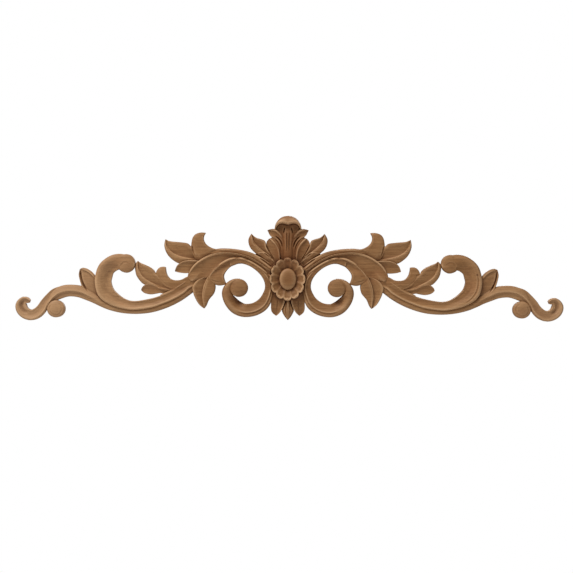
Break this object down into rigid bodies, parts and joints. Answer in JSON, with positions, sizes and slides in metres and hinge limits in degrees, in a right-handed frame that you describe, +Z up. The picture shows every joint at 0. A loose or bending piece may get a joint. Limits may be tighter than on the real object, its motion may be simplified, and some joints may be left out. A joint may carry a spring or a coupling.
{
  "type": "carved wood applique",
  "caption": "Long carved wood applique with a rosette under a leafy crown between mirrored acanthus scroll wings, flat at the back for fixing to furniture, doors or walls.",
  "frame": {"origin": "on the flat back face, behind the centre of the rosette", "axes": "+X along the length to the viewer's right, +Y from the carved front into the surface it is fixed to, +Z up"},
  "size_m": [0.547, 0.0142, 0.1046],
  "materials": {
    "carved_wood": "bare, sanded smooth"
  },
  "bodies": {
    "root": {"carved_applique": "carved_wood"}
  },
  "joints": []
}
